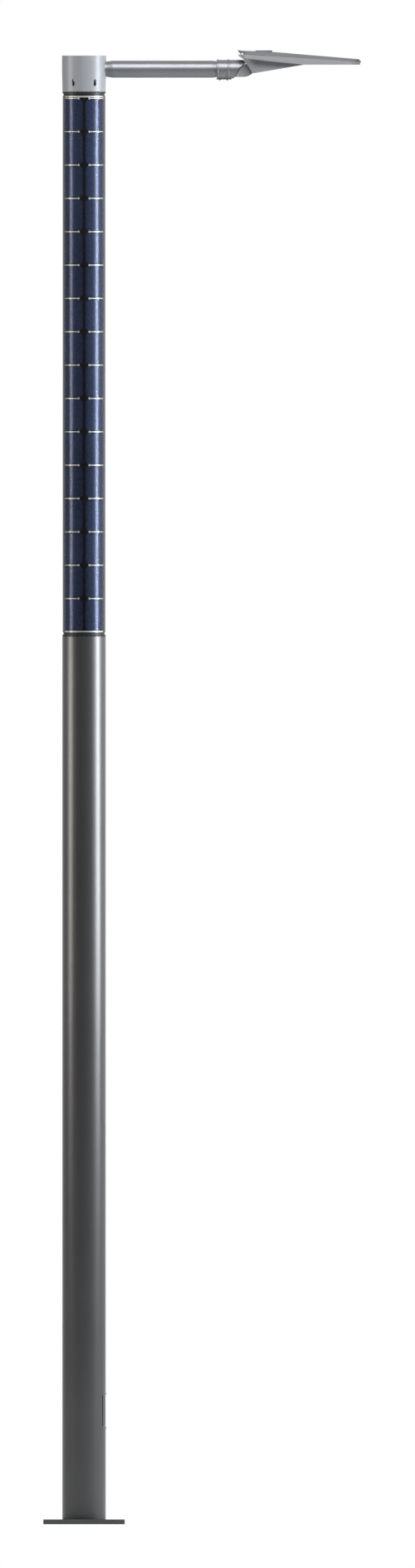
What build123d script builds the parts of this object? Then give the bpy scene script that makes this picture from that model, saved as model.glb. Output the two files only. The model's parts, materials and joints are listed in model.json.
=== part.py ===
from build123d import *
import os
from math import cos, radians, sin, sqrt, tan

# Solar street light: a flanged round pole, a photovoltaic sleeve above it, a swivelling head
# cap with a straight arm, and a tilting LED luminaire. Millimetres, +Z up, the arm along +X.
# The origin is the centre of the base plate's underside, on the pole's axis.

# ---- driving dimensions: base and lower pole ----
plate_side = 334.0
plate_thickness = 20.0
plate_corner_r = 9.0
anchor_spacing = 250.0
anchor_hole_r = 12.0
cable_hole_r = 50.0
pole_r = 88.9
pole_wall = 4.0
pole_top = 3631.0

# ---- battery door ----
door_centre_z = 1822.0
door_width = 115.5
door_height = 411.0
door_gap = 1.3
door_thickness = 2.8
door_frame_wall = 4.0
frame_margin = 8.0
frame_lip = 7.0
seal_thickness = 0.85
seal_width = 6.0
lock_drop = 33.0
lock_hole_r = 8.0
lock_bolt_r = 5.0
lock_bolt_length = 24.0
lock_cup_wall = 2.0
lock_cup_floor = 1.2
lock_cup_depth = 6.4
lock_head_height = 4.0
lock_key_r = 4.2
bridge_half_deg = 42.0
bridge_half_height = 13.0

# ---- battery bay ----
battery_side = 90.0
battery_height = 180.0
battery_gap = 8.0
tray_thickness = 4.0
tray_x = -40.0
tray_margin = 24.0
strap_width = 20.0
strap_thickness = 2.0
controller_depth = 28.0
controller_width = 80.0
controller_height = 120.0
controller_corner_r = 5.0
controller_gap = 12.0
fin_count = 6
fin_pitch = 11.0
fin_slot = 5.0
fin_depth = 3.0
fin_rise = 46.0
strip_depth = 9.0
strip_half = 32.0
strip_low = 8.0
strip_high = 26.0
way_pitch = 10.8
pack_corner_r = 6.0
pack_stud_r = 5.0
pack_stud_y = 20.0

# ---- low service panel ----
panel_centre_z = 465.0
panel_height = 126.5
panel_half_angle = 22.3
panel_recess = 1.0
panel_thickness = 2.0
panel_gap = 0.6
vent_angle = 31.7
vent_width = 4.4
panel_screw_rise = 70.0
panel_screw_r = 3.5
panel_screw_head = 2.6
carrier_x = 60.0
carrier_thickness = 3.0
carrier_half_width = 30.0
carrier_half_height = 84.0
block_depth = 13.0
block_half_width = 24.0
block_half_height = 34.0
block_way_r = 3.2
earth_drop = 60.0
earth_pad_r = 11.0
earth_stud_r = 5.0
earth_stud_length = 34.0
screen_thickness = 0.85
screen_half_deg = 3.6
screen_lap = 6.0

# ---- photovoltaic sleeve ----
cell_height = 125.0
cell_arc = 117.8
cell_chamfer = 8.7
cell_pitch = 136.4
cell_rows = 16
cell_columns = 4
cell_thickness = 0.25
cell_bed_inset = 0.65
sleeve_wall = 3.0
clear_tube_inset = 1.1
clear_tube_wall = 4.2
end_ring_inset = 0.5
end_ring_height = 8.0
neck_height = 9.0
neck_inset = 3.4
bus_bar_height = 5.5
bus_bar_gap = 2.4
tab_length_deg = 63.4
tab_height = 3.4
tab_pad_height = 7.6
tab_pad_width = 4.6
tab_bump_r = 4.0
ring_teeth = 30
ring_gap_width = 3.4
ring_tooth_height = 6.0

# ---- inner mast ----
mast_r = 57.15
mast_wall = 5.0
mast_embedment = 640.0
spacer_count = 4
spacer_margin = 60.0
spacer_height = 12.0
spacer_hole_r = 7.0
flange_thickness = 16.0

# ---- head ----
cap_height = 147.0
cap_flare = 1.6
cap_foot_inset = 0.3
cap_straight = 62.0
cap_wall = 8.1
cap_lid_thickness = 6.0
cap_lid_lap = 3.5
vent_slot_count = 6
vent_slot_height = 28.6
vent_slot_width = 12.0
vent_slot_rise = 36.0
swivel_clearance = 0.3
hub_height = 40.0
hub_r = 68.0
hub_flange = 10.0
washer_thickness = 2.0
hub_screw_r = 5.0
hub_screw_rise = 24.0
arm_screw_r = 4.0
arm_screw_one = 12.0
arm_screw_two = 28.0
arm_rise = 91.5
arm_r = 35.2
arm_root_r = 31.25
arm_root_length = 28.0
arm_end_r = 33.0
arm_end_length = 16.0
arm_wall = 4.0
arm_shoulder_x = 541.5
arm_socket_x = 40.0
arm_socket_r = 41.0
spigot_r = 30.0
spigot_length = 58.0

# ---- spigot knuckle: from here on x and z are measured from the arm's shoulder, on its axis ----
knuckle_x = 1.2
knuckle_r = 38.0
knuckle_depth = 62.0
spigot_clearance = 0.3
bead_rise = 2.4
bead_width = 7.6
bead_one_x = 6.0
bead_two_x = 49.4
boss_drop = 42.6
boss_length = 61.0
boss_half_width = 11.0
clamp_screw_one_x = 14.8
clamp_screw_two_x = 46.7
clamp_screw_r = 4.0
mitre_knee_x = 98.0
mitre_knee_z = 10.0
hood_x = 119.5
tongue_half = 17.0
tongue_end_r = 22.0
tongue_drop = 32.0
pivot_x = 156.5
pivot_z = 9.0
pivot_bolt_r = 6.0
bolt_head_r = 10.4
bolt_head_height = 7.5
nut_height = 9.0
bracket_drop = 14.0
bracket_rise = 20.0
foot_width = 26.0
foot_length = 20.0
pin_fit = 0.05
cable_way_r = 7.5
cable_way_drop = 8.0
ear_thickness = 5.0
ear_gap = 0.4

# ---- luminaire ----
lamp_back_x = 109.5
lamp_front_x = 588.5
lamp_back_half = 150.0
lamp_front_half = 118.0
lamp_back_corner = 36.0
lamp_front_corner = 47.0
split_back_z = 60.4
split_slope_deg = 3.5
split_gap = 0.6
rim_wall = 6.0
rim_floor = 4.0
rim_heel_z = 44.7
rim_knee_x = 218.5
rim_knee_z = 32.5
rim_toe_x = 358.0
rim_toe_z = 18.2
canopy_wall = 3.0
canopy_facet_deg = 28.0
canopy_back_rise = 75.6
canopy_brow_x = 228.8
canopy_brow_z = 70.7
canopy_nose_z = 41.0
canopy_lip_z = 30.0
belly_half = 112.0
belly_corner = 34.0
belly_wall = 3.6
belly_back_x = 111.5
belly_back_z = 41.0
belly_heel_x = 146.2
belly_sole_x = 157.5
belly_sole_z = -16.4
window_back_x = 376.5
window_front_x = 562.5
window_half = 92.0
window_corner = 14.0
glass_thickness = 3.0
glass_lap = 7.0
glass_seal_thickness = 1.0
board_rise = 12.4
board_thickness = 1.6
optic_count = 6
optic_margin = 22.0
optic_foot_r = 6.4
optic_top_r = 8.6
optic_height = 2.4
spreader_thickness = 3.0
spreader_margin = 17.0
post_inset = 14.0
post_half = 60.0
post_r = 4.5
hinge_x = 589.5
hinge_barrel_r = 3.5
hinge_pin_r = 1.5
hinge_clearance = 0.4
barrel_far = 60.0
barrel_split = 40.0
barrel_near = 20.0
lip_half = 52.0
lip_tip_x = 89.5
lip_low_z = 54.6
lip_throat_x = 98.0
lip_throat_z = 48.8
lip_root = 11.0
lever_tip_x = 86.1
lever_tip_z = 78.3
lever_pin_x = 103.0
lever_pin_z = 71.0
lever_knuckle_r = 5.0
lever_half = 36.0
lever_gap = 1.4
lever_pin_r = 1.6
lever_ear = 7.0
sensor_x = 194.5
sensor_r = 34.0
sensor_top_z = 77.0
sensor_seat_z = 66.2
sensor_gap = 0.5
driver_x = 214.5
driver_length = 122.0
driver_half = 42.0
driver_height = 22.5
driver_low_z = 24.5
tray_reach = 20.0
tray_post_r = 4.0
tray_plate = 2.4
side_box_x = 214.5
surge_length = 44.0
surge_near = 66.0
surge_far = 104.0
surge_top_z = 44.0
joint_length = 34.0
joint_near = 66.0
joint_far = 100.0
joint_top_z = 38.0
joint_way_pitch = 9.0

# ---- derived places ----
pole_bore = pole_r - pole_wall
end_ring_r = pole_r - end_ring_inset
clear_tube_r = pole_r - clear_tube_inset
neck_r = clear_tube_r - neck_inset
cell_bed_r = clear_tube_r - clear_tube_wall - cell_bed_inset
cap_foot_r = pole_r - cap_foot_inset
cap_top_r = pole_r + cap_flare
cap_bore_r = cap_foot_r - cap_wall
cap_lid_r = cap_bore_r + cap_lid_lap
sleeve_foot = pole_top + end_ring_height + neck_height
cell_bottom = sleeve_foot + bus_bar_height + bus_bar_gap
stack_height = (cell_rows - 1) * cell_pitch + cell_height
cell_top = cell_bottom + stack_height
row_gap = cell_pitch - cell_height
top_tab_z = cell_top + row_gap / 2
sleeve_head = top_tab_z + tab_pad_height / 2 + bus_bar_height + 1.2
ring_top = sleeve_head + neck_height + end_ring_height
cap_foot = ring_top + swivel_clearance
cap_top = cap_foot + cap_height
arm_z = cap_foot + arm_rise
mast_foot = pole_top - mast_embedment
mast_top = cap_foot + hub_height + washer_thickness
cell_half_deg = cell_arc / cell_bed_r / radians(1) / 2
arm_reach = arm_shoulder_x
overcut = 2.0


def tube(outer, inner, low, high):
    """Upright round tube."""
    height = high - low
    shell = Cylinder(outer, height) - Cylinder(inner, height + overcut)
    return Pos(0, 0, (low + high) / 2) * shell


def sector(inner, outer, start, sweep, low, high):
    """Curved plate about the pole's axis, from the angle start in degrees."""
    centre = ((inner + outer) / 2, (low + high) / 2)
    face = Plane.XZ * Pos(*centre) * Rectangle(outer - inner, high - low)
    return Rot(0, 0, start) * revolve(face, Axis.Z, sweep)


def box(x0, x1, y0, y1, z0, z1):
    """Block between two corners."""
    centre = Pos((x0 + x1) / 2, (y0 + y1) / 2, (z0 + z1) / 2)
    return centre * Box(x1 - x0, y1 - y0, z1 - z0)


def rod_x(radius, x0, x1, y, z):
    """Round bar along X."""
    return Pos((x0 + x1) / 2, y, z) * Rot(0, 90, 0) * Cylinder(radius, x1 - x0)


def rod_y(radius, y0, y1, x, z):
    """Round bar along Y."""
    return Pos(x, (y0 + y1) / 2, z) * Rot(90, 0, 0) * Cylinder(radius, y1 - y0)


def rod_z(radius, z0, z1, x, y):
    """Round bar along Z."""
    return Pos(x, y, (z0 + z1) / 2) * Cylinder(radius, z1 - z0)


def side_plate(points, half_width):
    """Outline in the XZ plane, made solid to both sides of the arm's plane."""
    face = make_face(Polyline(*points, close=True))
    return extrude(Plane.XZ * face, half_width, both=True)


def stadium(width, height, centre_z):
    """Round-ended upright slot, pushed out along +X from the pole's axis."""
    face = Plane.YZ * Pos(0, centre_z) * Rot(0, 0, 90) * SlotOverall(height, width)
    return extrude(face, pole_r + overcut)


# ---------------------------------------------------------------- base and lower pole
def base_plate():
    plate = box(-plate_side / 2, plate_side / 2, -plate_side / 2, plate_side / 2, 0, plate_thickness)
    plate = fillet(plate.edges().filter_by(Axis.Z), plate_corner_r)
    plate -= rod_z(cable_hole_r, -overcut, plate_thickness + overcut, 0, 0)
    for x in (-anchor_spacing / 2, anchor_spacing / 2):
        for y in (-anchor_spacing / 2, anchor_spacing / 2):
            plate -= rod_z(anchor_hole_r, -overcut, plate_thickness + overcut, x, y)
    return plate


panel_low = panel_centre_z - panel_height / 2
panel_high = panel_centre_z + panel_height / 2
vent_half_deg = vent_width / 2 / pole_r / radians(1)
screw_shank_r = panel_screw_r * 0.6
lock_z = door_centre_z + door_height / 2 - lock_drop
cup_floor_x = pole_r - lock_cup_depth


def lower_pole():
    pole = tube(pole_r, pole_bore, plate_thickness, pole_top)
    pole -= stadium(door_width + 2 * door_gap, door_height + 2 * door_gap, door_centre_z)
    pole -= sector(pole_bore - overcut, pole_r + overcut, -panel_half_angle, 2 * panel_half_angle,
                   panel_low, panel_high)
    for side in (-1, 1):
        pole -= sector(pole_bore - overcut, pole_r + overcut, side * vent_angle - vent_half_deg,
                       2 * vent_half_deg, panel_low, panel_high)
        pole -= rod_x(screw_shank_r + pin_fit, pole_bore - overcut * 2, pole_r + overcut, 0,
                      panel_centre_z + side * panel_screw_rise)
    return pole


def door_frame():
    ring = tube(pole_bore, pole_bore - door_frame_wall, door_centre_z - door_height, door_centre_z + door_height)
    outer = stadium(door_width + 2 * frame_margin, door_height + 2 * frame_margin, door_centre_z)
    inner = stadium(door_width - 2 * frame_lip, door_height - 2 * frame_lip, door_centre_z)
    return (ring & outer) - inner


def door_seal():
    ring = tube(pole_bore + seal_thickness, pole_bore, door_centre_z - door_height, door_centre_z + door_height)
    outer = stadium(door_width - 1, door_height - 1, door_centre_z)
    inner = stadium(door_width - 1 - 2 * seal_width, door_height - 1 - 2 * seal_width, door_centre_z)
    return (ring & outer) - inner


def battery_door():
    shell = tube(pole_r, pole_r - door_thickness, door_centre_z - door_height, door_centre_z + door_height)
    door = shell & stadium(door_width, door_height, door_centre_z)
    door -= rod_x(lock_hole_r, pole_r / 2, pole_r + overcut, 0, lock_z)
    cup = rod_x(lock_hole_r + lock_cup_wall, cup_floor_x - lock_cup_floor, pole_r - 1.2, 0, lock_z)
    cup -= rod_x(lock_hole_r, cup_floor_x, pole_r + overcut, 0, lock_z)
    cup -= rod_x(lock_bolt_r + 0.2, cup_floor_x - lock_cup_floor - 1, pole_r, 0, lock_z)
    return door + cup


def door_lock_bolt():
    head_x = cup_floor_x + 0.1
    head = rod_x(lock_hole_r - 0.6, head_x, head_x + lock_head_height, 0, lock_z)
    socket = Plane.YZ * Pos(0, lock_z) * RegularPolygon(lock_key_r, 3)
    head -= Pos(head_x + lock_head_height / 2, 0, 0) * extrude(socket, 6)
    return head + rod_x(lock_bolt_r, head_x - lock_bolt_length, head_x + 0.5, 0, lock_z)


def lock_bridge():
    frame_bore = pole_bore - door_frame_wall
    bar = sector(frame_bore - door_frame_wall, frame_bore, -bridge_half_deg, 2 * bridge_half_deg,
                 lock_z - bridge_half_height, lock_z + bridge_half_height)
    return bar - rod_x(lock_bolt_r + 0.4, frame_bore - 14, frame_bore + 4, 0, lock_z)


# ---------------------------------------------------------------- battery bay
battery_x = tray_x + tray_thickness
battery_low = door_centre_z - battery_height - battery_gap / 2
controller_low = door_centre_z + battery_height + battery_gap / 2 + controller_gap
tray_half = sqrt(pole_bore ** 2 - tray_x ** 2) - 0.3


def battery_tray():
    top = controller_low + controller_height + tray_margin
    plate = box(tray_x, battery_x, -tray_half, tray_half, battery_low - tray_margin, top)
    shelf = box(battery_x, battery_x + battery_side, -battery_side / 2, battery_side / 2,
                battery_low - tray_thickness, battery_low)
    return plate + shelf


def battery_pack(index):
    low = battery_low + index * (battery_height + battery_gap)
    pack = box(battery_x, battery_x + battery_side, -battery_side / 2, battery_side / 2, low, low + battery_height)
    pack = fillet(pack.edges().filter_by(Axis.Z), pack_corner_r)
    terminal_x = battery_x + battery_side * 0.3
    for y in (-pack_stud_y, pack_stud_y):
        pack += rod_z(pack_stud_r, low + battery_height - 1, low + battery_height + 5, terminal_x, y)
    return pack


def battery_straps():
    bands = []
    for index in (0, 1):
        centre = battery_low + battery_height / 2 + index * (battery_height + battery_gap)
        reach = battery_x + battery_side
        half = battery_side / 2
        outer = box(battery_x, reach + strap_thickness + 0.1, -half - strap_thickness - 0.1,
                    half + strap_thickness + 0.1, centre - strap_width / 2, centre + strap_width / 2)
        outer -= box(battery_x - 1, reach + 0.1, -half - 0.1, half + 0.1, centre - strap_width, centre + strap_width)
        bands.append(outer)
    return Compound(bands)


def charge_controller():
    body = box(battery_x, battery_x + controller_depth, -controller_width / 2, controller_width / 2,
               controller_low, controller_low + controller_height)
    body = fillet(body.edges().filter_by(Axis.X), controller_corner_r)
    face_x = battery_x + controller_depth
    for index in range(fin_count):
        z = controller_low + fin_rise + index * fin_pitch
        body -= box(face_x - fin_depth, face_x + 1, -30, 30, z, z + fin_slot)
    return body


def controller_terminals():
    x = battery_x + controller_depth
    front = x + strip_depth
    strip = box(x, front, -strip_half, strip_half, controller_low + strip_low, controller_low + strip_high)
    middle = controller_low + (strip_low + strip_high) / 2
    for index in range(6):
        strip -= rod_x(3, front - 4, front + 1, (index - 2.5) * way_pitch, middle)
    return strip


# ---------------------------------------------------------------- low service panel
def service_cover():
    outer = pole_r - panel_recess
    gap_deg = panel_gap / pole_r / radians(1)
    half = panel_half_angle - gap_deg
    cover = sector(outer - panel_thickness, outer, -half, 2 * half, panel_low + panel_gap, panel_high - panel_gap)
    for z in (panel_low + 14, panel_high - 14):
        cover += sector(outer - panel_thickness - 7, outer - panel_thickness, -4, 8, z - 4, z + 4)
    return cover


def panel_screws():
    screws = []
    for side in (-1, 1):
        z = panel_centre_z + side * panel_screw_rise
        head = rod_x(panel_screw_r, pole_r + 0.05, pole_r + panel_screw_head, 0, z)
        head = fillet(head.edges().filter_by(GeomType.CIRCLE).sort_by(Axis.X)[-1], 1.2)
        socket = Plane.YZ * Pos(0, z) * RegularPolygon(1.7, 6)
        head -= Pos(pole_r + 1.0, 0, 0) * extrude(socket, 4)
        screws.append(head + rod_x(screw_shank_r, pole_bore - 14, pole_r + 0.2, 0, z))
    return Compound(screws)


def terminal_carrier():
    face_x = carrier_x + carrier_thickness
    carrier = box(carrier_x, face_x, -carrier_half_width, carrier_half_width,
                  panel_centre_z - carrier_half_height, panel_centre_z + carrier_half_height)
    for side in (-1, 1):
        z = panel_centre_z + side * panel_screw_rise
        carrier += box(face_x, pole_bore - 0.4, -8, 8, z - 6, z + 6)
        carrier -= rod_x(screw_shank_r + pin_fit, carrier_x - overcut, pole_r, 0, z)
    return carrier


def terminal_block():
    low_x = carrier_x + carrier_thickness
    high_x = low_x + block_depth
    block = box(low_x, high_x, -block_half_width, block_half_width,
                panel_centre_z - block_half_height, panel_centre_z + block_half_height)
    for index in range(5):
        z = panel_centre_z + (index - 2) * block_depth
        for y in (-block_depth, block_depth):
            block -= rod_x(block_way_r, high_x - 5, high_x + 1, y, z)
    return block


def vent_screens():
    screens = []
    for side in (-1, 1):
        outer = pole_bore - 0.05
        screens.append(sector(outer - screen_thickness, outer, side * vent_angle - screen_half_deg,
                              2 * screen_half_deg, panel_low - screen_lap, panel_high + screen_lap))
    return Compound(screens)


def earth_stud():
    z = panel_centre_z - earth_drop
    pad_end = sqrt(pole_bore ** 2 - earth_pad_r ** 2) - 0.1
    pad = rod_x(earth_pad_r, pad_end - 6, pad_end, 0, z)
    stud = rod_x(earth_stud_r, pole_bore - earth_stud_length, pad_end - 5, 0, z)
    return Rot(0, 0, 180) * (pad + stud)


# ---------------------------------------------------------------- inner mast
def inner_mast():
    return tube(mast_r, mast_r - mast_wall, mast_foot, mast_top)


def mast_rings():
    """Two rings that hold the mast in the pole: one at its foot, one at the pole's top."""
    lows = (mast_foot + 10, pole_top - flange_thickness)
    return Compound([tube(pole_bore - 0.05, mast_r, low, low + flange_thickness) for low in lows])


def sleeve_spacers():
    rings = []
    outer = cell_bed_r - sleeve_wall
    step = (sleeve_head - sleeve_foot - 2 * spacer_margin) / (spacer_count - 1)
    for index in range(spacer_count):
        low = sleeve_foot + spacer_margin - spacer_height / 2 + index * step
        ring = tube(outer - 0.1, mast_r, low, low + spacer_height)
        for hole in range(6):
            way = rod_z(spacer_hole_r, low - overcut, low + spacer_height + overcut, (mast_r + outer) / 2, 0)
            ring -= Rot(0, 0, hole * 60) * way
        rings.append(ring)
    return Compound(rings)


# ---------------------------------------------------------------- photovoltaic sleeve
cell_out_r = cell_bed_r + 0.05 + cell_thickness


def cell_sleeve():
    return tube(cell_bed_r, cell_bed_r - sleeve_wall, sleeve_foot, sleeve_head)


def cell_blank():
    """One bowed square cell with clipped corners, centred on +X at height zero."""
    half_y = cell_out_r * sin(radians(cell_half_deg))
    half_z = cell_height / 2
    clip_y = cell_chamfer * cos(radians(cell_half_deg - 3))
    points = [(half_y, half_z - cell_chamfer), (half_y - clip_y, half_z), (clip_y - half_y, half_z),
              (-half_y, half_z - cell_chamfer), (-half_y, cell_chamfer - half_z), (clip_y - half_y, -half_z),
              (half_y - clip_y, -half_z), (half_y, cell_chamfer - half_z)]
    prism = extrude(Plane.YZ * make_face(Polyline(*points, close=True)), cell_out_r + overcut)
    return tube(cell_out_r, cell_bed_r + 0.05, -half_z - 1, half_z + 1) & prism


def cell_column(blank, column):
    turn = Rot(0, 0, 45 + column * 360 / cell_columns)
    cells = []
    for row in range(cell_rows):
        cells.append(turn * Pos(0, 0, cell_bottom + cell_height / 2 + row * cell_pitch) * blank)
    return Compound(cells)


def tab_blank():
    """One interconnect ribbon with an end pad at each end and a round pad in its middle."""
    half = cell_out_r * sin(radians(tab_length_deg / 2))
    outline = Rectangle(2 * half, tab_height)
    outline += Pos(half - tab_pad_width / 2, 0) * Rectangle(tab_pad_width, tab_pad_height)
    outline += Pos(tab_pad_width / 2 - half, 0) * Rectangle(tab_pad_width, tab_pad_height)
    outline += Circle(tab_bump_r)
    prism = extrude(Plane.YZ * outline, cell_out_r + overcut)
    return tube(cell_out_r + 0.1, cell_bed_r + 0.05, -tab_pad_height, tab_pad_height) & prism


def cell_tabs():
    blank = tab_blank()
    tabs = []
    for column in range(cell_columns):
        for row in range(cell_rows):
            turn = Rot(0, 0, 45 + column * 360 / cell_columns)
            tabs.append(turn * Pos(0, 0, top_tab_z - row * cell_pitch) * blank)
    return Compound(tabs)


def bus_bars():
    lows = (sleeve_foot + 0.6, sleeve_head - bus_bar_height - 0.6)
    return Compound([tube(cell_out_r + 0.1, cell_bed_r + 0.05, low, low + bus_bar_height) for low in lows])


def clear_tube():
    return tube(clear_tube_r, clear_tube_r - clear_tube_wall, sleeve_foot, sleeve_head)


def end_ring(low, teeth_up):
    """Castellated vent ring with a narrower neck that carries the sleeve's end."""
    span = end_ring_height + neck_height
    inner = mast_r + 0.2
    ring_low = low + neck_height if teeth_up else low
    neck_low = low if teeth_up else low + end_ring_height
    ring = tube(end_ring_r, inner, ring_low, ring_low + end_ring_height)
    ring += tube(neck_r, inner, neck_low, neck_low + neck_height)
    teeth_low = low + span - ring_tooth_height if teeth_up else low
    gap = box(neck_r - 6, end_ring_r + overcut, -ring_gap_width / 2, ring_gap_width / 2,
              teeth_low - (0 if teeth_up else overcut), teeth_low + ring_tooth_height + (overcut if teeth_up else 0))
    cuts = [Rot(0, 0, index * 360 / ring_teeth) * gap for index in range(ring_teeth)]
    return ring - cuts


# ---------------------------------------------------------------- head cap and arm
arm_screw_places = (arm_socket_x + arm_screw_one, arm_socket_x + arm_screw_two)


def head_cap():
    profile = [(cap_bore_r, cap_foot), (cap_foot_r, cap_foot), (cap_top_r, cap_top - cap_straight),
               (cap_top_r, cap_top), (cap_lid_r + 0.3, cap_top), (cap_lid_r + 0.3, cap_top - cap_lid_thickness),
               (cap_bore_r, cap_top - cap_lid_thickness)]
    shell = revolve(Plane.XZ * make_face(Polyline(*profile, close=True)), Axis.Z)
    boss = rod_x(arm_socket_r, arm_socket_x, cap_top_r, 0, arm_z)
    boss &= rod_z(cap_bore_r + 1, cap_foot, cap_top - cap_lid_thickness - 1, 0, 0)
    shell += boss
    shell -= rod_x(arm_root_r + 0.1, arm_socket_x - overcut, cap_top_r + 10, 0, arm_z)
    slot = Plane.YZ * Pos(0, cap_foot + vent_slot_rise) * Rot(0, 0, 90) * SlotOverall(vent_slot_height, vent_slot_width)
    cutter = Pos(hub_r + 4, 0, 0) * extrude(slot, cap_top_r)
    shell -= [Rot(0, 0, index * 360 / vent_slot_count) * cutter for index in range(vent_slot_count)]
    for x in arm_screw_places:
        shell -= rod_z(arm_screw_r + 0.1, arm_z, cap_top - cap_lid_thickness + 1, x, 0)
    return shell


def cap_lid():
    lid = rod_z(cap_lid_r, cap_top - cap_lid_thickness, cap_top, 0, 0)
    return chamfer(lid.edges().filter_by(GeomType.CIRCLE).sort_by(Axis.Z)[-1], 1)


def head_hub():
    low = cap_foot + washer_thickness
    hub = tube(hub_r, mast_r + swivel_clearance, low, low + hub_height - 1)
    hub += tube(cap_bore_r - 0.05, hub_r - 1, low, low + hub_flange)
    for index in range(3):
        hub -= Rot(0, 0, 60 + index * 120) * rod_x(hub_screw_r + 0.1, mast_r - 2, hub_r + 2, 0, low + hub_screw_rise)
    return hub


def head_screws():
    """Set screws: three lock the hub on the mast, two hold the arm in its socket."""
    bar = rod_x(hub_screw_r, mast_r + swivel_clearance, hub_r + 3, 0, cap_foot + washer_thickness + hub_screw_rise)
    screws = [Rot(0, 0, 60 + index * 120) * bar for index in range(3)]
    low = arm_z + arm_root_r + 0.1
    high = arm_z + arm_socket_r + 3
    return Compound(screws + [rod_z(arm_screw_r, low, high, x, 0) for x in arm_screw_places])


def thrust_washer():
    low = ring_top + 0.1
    return tube(hub_r + 4, mast_r, low, low + washer_thickness)


def arm_tube():
    root_x = cap_foot_r + arm_root_length
    profile = [(arm_socket_x + 2, 0), (arm_socket_x + 2, arm_root_r), (cap_top_r + 1, arm_root_r), (root_x, arm_r),
               (arm_shoulder_x - arm_end_length, arm_r), (arm_shoulder_x, arm_end_r), (arm_shoulder_x, spigot_r),
               (arm_shoulder_x + spigot_length, spigot_r), (arm_shoulder_x + spigot_length, 0)]
    face = make_face(Polyline(*profile, close=True))
    arm = revolve(Plane.XZ * face, Axis.X)
    arm -= rod_x(spigot_r - arm_wall, 0, arm_shoulder_x + spigot_length + overcut, 0, 0)
    return Pos(0, 0, arm_z) * arm


# ---------------------------------------------------------------- spigot knuckle
def tongue():
    """Flat-sided tongue whose round end turns about the tilt bolt."""
    blade_x = knuckle_x + knuckle_depth + 4
    top = mitre_knee_z * 2
    heel = pivot_x - 6
    lower = ThreePointArc((108.5, -tongue_drop), (130.5, 4.5 - tongue_drop), (heel, 17.5 - tongue_drop))
    upper = Polyline((heel, 17.5 - tongue_drop), (pivot_x, pivot_z), (pivot_x - 14, pivot_z + 17),
                     (115, top), (blade_x, top), (blade_x, -tongue_drop), (108.5, -tongue_drop))
    blade = extrude(Plane.XZ * make_face(lower + upper), tongue_half, both=True)
    return blade + rod_y(tongue_end_r, -tongue_half, tongue_half, pivot_x, pivot_z)


def spigot_knuckle():
    body = rod_x(knuckle_r, knuckle_x, hood_x + 8, 0, 0)
    for x in (bead_one_x, bead_two_x):
        bead = rod_x(knuckle_r + bead_rise, x - bead_width / 2, x + bead_width / 2, 0, 0)
        body += fillet(bead.edges().filter_by(GeomType.CIRCLE), bead_rise - 0.2)
    boss_x = knuckle_x + boss_length
    body += box(knuckle_x, boss_x, -boss_half_width, boss_half_width, -boss_drop, 0)
    # the mitred end: the foot slopes back under the hood, and the hood stops short of the housing
    keep = [(knuckle_x, -60), (boss_x + 6, -60), (boss_x + 9, -knuckle_r), (mitre_knee_x, mitre_knee_z),
            (hood_x, mitre_knee_z + 14), (hood_x - 11, knuckle_r + 2), (hood_x - 11, 60), (knuckle_x, 60)]
    body &= side_plate(keep, knuckle_r + 10)
    body += tongue()
    body -= rod_x(spigot_r + spigot_clearance, knuckle_x - overcut, knuckle_x + knuckle_depth, 0, 0)
    body -= rod_x(cable_way_r, knuckle_x, pivot_x + 40, 0, -cable_way_drop)
    body -= rod_y(pivot_bolt_r + pin_fit, -40, 40, pivot_x, pivot_z)
    for x in (clamp_screw_one_x, clamp_screw_two_x):
        body -= rod_z(clamp_screw_r + 0.1, -boss_drop - 1, 0, x, 0)
    return body


def collar_screws():
    screws = []
    for x in (clamp_screw_one_x, clamp_screw_two_x):
        screw = rod_z(clamp_screw_r, -boss_drop - 0.2, -spigot_r - 0.3, x, 0)
        screw += rod_z(clamp_screw_r + 1.6, -boss_drop - 3.2, -boss_drop - 0.2, x, 0)
        screws.append(screw)
    return Compound(screws)


bracket_in = tongue_half + ear_gap
bracket_out = bracket_in + ear_thickness
bracket_back = pivot_x + tongue_end_r + 10


def tilt_bracket():
    low = pivot_z - bracket_drop
    top = pivot_z + bracket_rise
    end = bracket_back + ear_thickness
    ear = box(pivot_x - 12, end, bracket_in, bracket_out, low, top)
    bracket = ear + mirror(ear, Plane.XZ) + box(bracket_back, end, -bracket_out, bracket_out, low, top)
    for side in (-1, 1):
        sides = sorted((side * bracket_out, side * (bracket_out + foot_width)))
        bracket += box(bracket_back - foot_length, end, sides[0], sides[1], belly_floor(end) + 0.2, low + 4)
    return bracket - rod_y(pivot_bolt_r + pin_fit, -60, 60, pivot_x, pivot_z)


def tilt_bolt():
    face = bracket_out + 0.1
    shank = rod_y(pivot_bolt_r, -face, face + 12, pivot_x, pivot_z)
    head = extrude(Plane.XZ * Pos(pivot_x, pivot_z) * RegularPolygon(bolt_head_r, 6), bolt_head_height)
    return shank + Pos(0, -face, 0) * head


def tilt_nut():
    nut = extrude(Plane.XZ * Pos(pivot_x, pivot_z) * RegularPolygon(bolt_head_r, 6), -nut_height)
    nut = Pos(0, bracket_out + 0.1, 0) * nut
    return nut - rod_y(pivot_bolt_r + pin_fit, 0, 60, pivot_x, pivot_z)


# ---------------------------------------------------------------- luminaire
wide = lamp_back_half + 10
hinge_z = split_back_z - (hinge_x - lamp_back_x) * tan(radians(split_slope_deg)) - split_gap / 2
window_length = window_front_x - window_back_x
window_centre_x = (window_front_x + window_back_x) / 2
floor_z = rim_toe_z + rim_floor
board_z = rim_toe_z + board_rise
spreader_z = board_z + board_thickness + 0.1
post_places = [(x, side * post_half) for x in (window_back_x - post_inset, window_front_x + post_inset)
               for side in (-1, 1)]


def split_height(x):
    """Height of the plane where the canopy meets the housing."""
    return split_back_z - (x - lamp_back_x) * tan(radians(split_slope_deg))


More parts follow.
